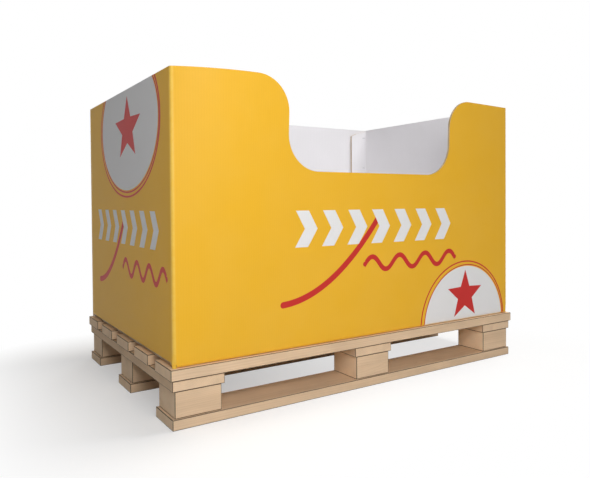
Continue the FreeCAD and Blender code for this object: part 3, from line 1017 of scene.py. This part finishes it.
def timberKinds():
    # name, axis of the grain, nails in its outer face: +1 on top, -1 underneath
    kinds = [(f"deck_board_{k}", 0, 1) for k in range(1, 6)]
    kinds += [(f"cross_board_{side}", 1, 0) for side in ("left", "middle", "right")]
    kinds += [(f"block_{row}_{side}", 0, 0) for row in ("front", "middle", "back")
              for side in ("left", "middle", "right")]
    kinds += [(f"bottom_board_{row}", 0, -1) for row in ("front", "middle", "back")]
    return kinds


def nailSpots():
    # where the nails' heads lie, from the CAD nails
    spots = {1: [], -1: []}
    for node, face in (("long_nails", 1), ("short_nails", 1), ("bottom_nails", -1)):
        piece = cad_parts[node]
        level = max(v.co.z * face for v in piece.data.vertices)
        rim = [v.co for v in piece.data.vertices if v.co.z * face > level - timbers["headRim"]]
        clusters = []
        for co in rim:
            for cluster in clusters:
                if (cluster[0] - co).length < timbers["headApart"]:
                    cluster.append(co)
                    break
            else:
                clusters.append([co])
        for cluster in clusters:
            low = Vector([min(co[k] for co in cluster) for k in range(3)])
            high = Vector([max(co[k] for co in cluster) for k in range(3)])
            spots[face].append((low + high) / 2)
    return spots


def buildTimber(name, grain, draw):
    low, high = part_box(name)
    low = Vector(low) + Vector((1, 1, 1)) * timbers["shy"]
    high = Vector(high) - Vector((1, 1, 1)) * timbers["shy"]
    size, middle = high - low, (high + low) / 2
    bm = bmesh.new()
    bmesh.ops.create_cube(bm, size=1, matrix=Matrix.Translation(middle) @ Matrix.Diagonal((*size, 1)))
    rounded = bmesh.ops.bevel(bm, geom=list(bm.edges), offset=timbers["edge"], affect="EDGES",
                              segments=timbers["edgeSegments"], profile=timbers["edgeProfile"])["faces"]
    for face in rounded:
        face.material_index = 1
        face.smooth = True
    normal = Vector([1.0 if k == grain else 0.0 for k in range(3)])
    slices = int(size[grain] / timbers["sliceEvery"])
    for k in range(1, slices):
        place = middle + normal * (k / slices - 0.5) * size[grain]
        bmesh.ops.bisect_plane(bm, geom=list(bm.verts) + list(bm.edges) + list(bm.faces),
                               plane_co=place, plane_no=normal)
    shift = Vector([draw.uniform(-timbers["sagShift"], timbers["sagShift"]) for _ in range(3)])
    for vert in bm.verts:
        away = vert.co - middle
        waver = noise.noise_vector(vert.co * timbers["sagCells"] + shift) * timbers["sag"]
        for k in range(3):
            # faces only move inwards
            if abs(away[k]) > size[k] / 2 - timbers["faceDepth"]:
                vert.co[k] -= math.copysign(abs(waver[k]), away[k])
    return finishMesh(bm, name)


def addGrain(mesh, name, grain, draw):
    # the place inside the log that each point was sawn from, with the grain along x
    low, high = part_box(name)
    middle = (Vector(low) + Vector(high)) / 2
    along, across = timbers["pithAlong"], timbers["pithAcross"]
    pith = Vector((draw.uniform(-along, along), draw.uniform(-across, across),
                   draw.choice((-1, 1)) * draw.uniform(*timbers["pithAway"])))
    tones = [draw.uniform(0, 1)] * len(mesh.vertices)
    # faces that look along the grain are marked for painted light
    ends = [wood["endLightShare"][grain] * (abs(polygon.normal[grain]) > timbers["endFacing"])
            for polygon in mesh.polygons]
    places = []
    for vert in mesh.vertices:
        place = vert.co - middle
        if grain == 1:
            place = Vector((place.y, -place.x, place.z))
        places += [*(place + pith)]
    mesh.attributes.new("grain", "FLOAT_VECTOR", "POINT").data.foreach_set("vector", places)
    mesh.attributes.new("tone", "FLOAT", "POINT").data.foreach_set("value", tones)
    mesh.attributes.new("end", "FLOAT", "FACE").data.foreach_set("value", ends)


def cutHeads(piece, node, face, spots):
    # round sinkings for the nails' heads
    low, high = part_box(node)
    level = high[2] if face > 0 else low[2]
    radius, depth = timbers["headRadius"], timbers["headDepth"] * 2
    bm = bmesh.new()
    for spot in spots:
        if low[0] < spot.x < high[0] and low[1] < spot.y < high[1]:
            bmesh.ops.create_cone(bm, cap_ends=True, segments=timbers["headSides"], depth=depth,
                                  radius1=radius, radius2=radius,
                                  matrix=Matrix.Translation((spot.x, spot.y, level)))
    cutter = newObject("headCutter", finishMesh(bm, "headCutter"), [])
    sink = piece.modifiers.new("heads", "BOOLEAN")
    sink.object, sink.operation, sink.solver = cutter, "DIFFERENCE", "EXACT"
    bpy.context.view_layer.update()
    result = bpy.data.meshes.new_from_object(piece.evaluated_get(bpy.context.evaluated_depsgraph_get()))
    piece.modifiers.clear()
    piece.data = result
    bpy.data.meshes.remove(cutter.data)


wood = {
    "early": screenColour(236, 206, 172),
    "late": screenColour(217, 182, 144),
    "streak": screenColour(212, 179, 143),
    "paintedEndLight": screenColour(255, 225, 190),
    "endLightShare": (0.90, 0.20),  # how much painted light the end faces get, of timber along x and along y
    "knot": screenColour(150, 106, 68),
    # painted shade on the rounded edges of the timbers
    "edgeShadeTone": screenColour(66, 50, 38),
    "edgeShadeShare": 0.86,
    "knotCells": (3.4, 13.0, 13.0),  # cells to the metre, along and across the grain
    "knotShare": 0.72,  # cells below this have none
    "knotSoft": 0.01,
    "knotHeart": (0.05, 0.16),  # distance over which it fades, in cells
    "knotSwirl": (0.10, 0.50),
    # cells to the metre, along and across the grain, then detail and roughness
    "bend": ((1.3, 9.0, 9.0), 3.0, 0.5),
    "fine": ((6.0, 380.0, 380.0), 3.0, 0.6),
    "broad": ((1.8, 26.0, 26.0), 3.0, 0.55),
    "blotch": ((9.0, 20.0, 20.0), 2.0, 0.5),
    "pores": ((40.0, 1500.0, 1500.0), 1.0, 0.5),
    "ringPitch": 0.0046,
    "ringBend": 0.034,
    "ringSwirl": 0.010,
    "ringEdge": 3.0,  # how late in a ring its dark line begins
    "ringShare": 0.42,
    "sawPitch": 0.0042,
    "sawBend": 0.01,
    # share or shade from low to high, and where the cloud's value is low and high
    "streakShare": (0.0, 0.45, 0.45, 0.75),
    "fineShade": (0.955, 1.03, *cloudRange),
    "blotchShade": (-0.05, 0.05, *cloudRange),
    "toneShade": (-0.035, 0.035),
    "fineRise": 0.6,
    "ringRise": 0.25,
    "poreRise": 0.25,
    "sawRise": 0.04,
    "relief": (0.0004, 0.7),
    "rough": (0.62, 0.80),
    "specular": 0.25,
}


def sawnWood(name, onEdge):
    s = Shader(name)
    place = s.attribute("grain", "Vector")
    x, y, z = s.split(place)
    bend, fine, broad, blotch, pores = (s.cloud(s.stretch(place, wood[kind][0]), 1.0, *wood[kind][1:])
                                        for kind in ("bend", "fine", "broad", "blotch", "pores"))
    knots = s.nodes.new("ShaderNodeTexVoronoi")
    s.put(knots.inputs["Vector"], s.stretch(place, wood["knotCells"]))
    knots.inputs["Scale"].default_value = 1.0
    picked = s.inside(s.sub(wood["knotShare"], s.split(knots.outputs["Color"])[0]), wood["knotSoft"])
    heart, swirl = (s.mul(picked, s.spread(knots.outputs["Distance"], 1.0, 0.0, *wood[part]))
                    for part in ("knotHeart", "knotSwirl"))
    wander = s.add(s.mul(s.sub(bend, 0.5), wood["ringBend"]), s.mul(swirl, wood["ringSwirl"]))
    turns = s.calc("DIVIDE", s.add(s.reach(y, z), wander), wood["ringPitch"])
    ring = s.calc("POWER", s.calc("FRACT", turns), wood["ringEdge"])
    colour = s.tint(s.mul(ring, wood["ringShare"]), wood["early"], wood["late"])
    colour = s.tint(s.spread(broad, *wood["streakShare"]), colour, wood["streak"])
    colour = s.tint(heart, colour, wood["knot"])
    # painted light: the end faces are made paler, to lift the ends that lie in shade
    colour = s.tint(s.attribute("end"), colour, wood["paintedEndLight"])
    shade = s.add(s.spread(fine, *wood["fineShade"]), s.spread(s.attribute("tone"), *wood["toneShade"]))
    colour = s.shade(colour, s.add(shade, s.spread(blotch, *wood["blotchShade"])))
    if onEdge:
        # painted shade: the rounded edges are darkened nearly to the dark tone, so that each timber has a
        # dark outline
        colour = s.tint(wood["edgeShadeShare"], colour, wood["edgeShadeTone"])
    saw = s.calc("SINE", s.mul(s.add(x, s.mul(bend, wood["sawBend"])), 2 * math.pi / wood["sawPitch"]))
    height = s.add(s.add(s.mul(fine, wood["fineRise"]), s.mul(ring, wood["ringRise"])),
                   s.add(s.mul(pores, wood["poreRise"]), s.mul(saw, wood["sawRise"])))
    s.relief(height, *wood["relief"])
    return s.finish(colour, s.spread(fine, *wood["rough"]), wood["specular"])


def addTimbers():
    draw = random.Random(timbers["seed"])
    noise.seed_set(timbers["seed"])  # without this the noise's place follows the clock
    face, edge = sawnWood("sawnWood", False), sawnWood("edgeShadeWood", True)
    spots = nailSpots()
    print("nail heads:", len(spots[1]), "in the deck,", len(spots[-1]), "underneath")
    for name, grain, nails in timberKinds():
        words = name.split("_")
        title = words[0] + "".join(word.capitalize() for word in words[1:])
        piece = newObject(title, buildTimber(name, grain, draw), [face, edge])
        if nails:
            cutHeads(piece, name, nails, spots[nails])
        addGrain(piece.data, name, grain, draw)
        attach(piece, "root")
        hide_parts(name)


addTimbers()
print("timbers:", len(timberKinds()))


# nails keep their CAD shape

nailSteel = wireSteel("nailSteel")
for node in ("long_nails", "short_nails", "bottom_nails"):
    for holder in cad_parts[node].material_slots:
        holder.material = nailSteel


# room

lamps = {
    "key": {"place": (-0.82, -1.92, 1.18), "aim": (-0.1, -0.3, 0.45), "size": 1.0, "watts": 21.4},
    "top": {"place": (1.35, -0.42, 3.60), "aim": (0.0, 0.0, 0.2), "size": 1.5, "watts": 84},
    "inside": {"place": (0.22, -0.38, 1.60), "aim": (0.05, 0.39, 0.55), "size": 0.4, "watts": 2.6},
    "behind": {"place": (0.75, 2.15, 0.62), "aim": (0.1, 0.4, 0.40), "size": 0.8, "watts": 13},
}

room = {
    "ambient": (0.97, 0.98, 1.0),
    "ambientStrength": 0.125,
    "floorSeen": (0.95, 0.95, 0.95),
    "floorBounce": (0.62, 0.62, 0.62),
    "floorGlow": (0.39, 0.72),  # share of plain white that the camera sees in the floor
    "glowTurn": (-0.50, 0.10),  # where the first turns to the second, along x
    "floorFade": 0.40,  # distance from the pallet at which the floor is plain white
    "floorRough": 0.9,
    "floorReach": 60.0,
}


def whiteForCamera(nodes, links):
    # 1 where the camera looks straight, in a reflection or through something clear
    path = nodes.new("ShaderNodeLightPath")
    total = path.outputs["Is Camera Ray"]
    for name in ("Is Glossy Ray", "Is Transmission Ray"):
        either = nodes.new("ShaderNodeMath")
        either.operation = "MAXIMUM"
        links.new(total, either.inputs[0])
        links.new(path.outputs[name], either.inputs[1])
        total = either.outputs[0]
    return total


def addRoom():
    bpy.context.scene.view_settings.view_transform = "Standard"
    for name, lamp in lamps.items():
        data = bpy.data.lights.new(name, "AREA")
        data.shape = "DISK"
        data.size = lamp["size"]
        data.energy = lamp["watts"]
        light = bpy.data.objects.new(name, data)
        light.visible_camera = False
        bpy.context.scene.collection.objects.link(light)
        place = Vector(lamp["place"])
        light.location = place
        light.rotation_euler = (Vector(lamp["aim"]) - place).to_track_quat("-Z", "Y").to_euler()
    world = bpy.data.worlds.new("studio")
    bpy.context.scene.world = world
    world.use_nodes = True
    nodes, links = world.node_tree.nodes, world.node_tree.links
    ambient = nodes["Background"]
    ambient.inputs["Color"].default_value = (*room["ambient"], 1)
    ambient.inputs["Strength"].default_value = room["ambientStrength"]
    plain = nodes.new("ShaderNodeBackground")
    plain.inputs["Color"].default_value = (1, 1, 1, 1)
    mix = nodes.new("ShaderNodeMixShader")
    links.new(whiteForCamera(nodes, links), mix.inputs[0])
    links.new(ambient.outputs[0], mix.inputs[1])
    links.new(plain.outputs[0], mix.inputs[2])
    links.new(mix.outputs[0], nodes["World Output"].inputs["Surface"])


def addFloor():
    s = Shader("paleFloor")
    x, y, _ = s.split(s.place())
    seen = whiteForCamera(s.nodes, s.links)
    beyond = [s.either(s.sub(s.size(place), half), 0.0) for place, half in zip((x, y), cadBox[1])]
    near = s.spread(x, *room["floorGlow"], *room["glowTurn"])
    far = s.spread(s.reach(*beyond), near, 1.0, 0.0, room["floorFade"])
    s.finish(s.tint(seen, room["floorBounce"], room["floorSeen"]), room["floorRough"], 0.0)
    glow = s.nodes.new("ShaderNodeEmission")
    mix = s.nodes.new("ShaderNodeMixShader")
    s.links.new(s.mul(seen, far), mix.inputs[0])
    s.links.new(s.surface.outputs[0], mix.inputs[1])
    s.links.new(glow.outputs[0], mix.inputs[2])
    s.links.new(mix.outputs[0], s.nodes["Material Output"].inputs["Surface"])
    bm = bmesh.new()
    bmesh.ops.create_grid(bm, x_segments=1, y_segments=1, size=room["floorReach"])
    mesh = finishMesh(bm, "paleFloor")
    newObject("paleFloor", mesh, [s.material])


addRoom()
addFloor()
print("room and lights in place")
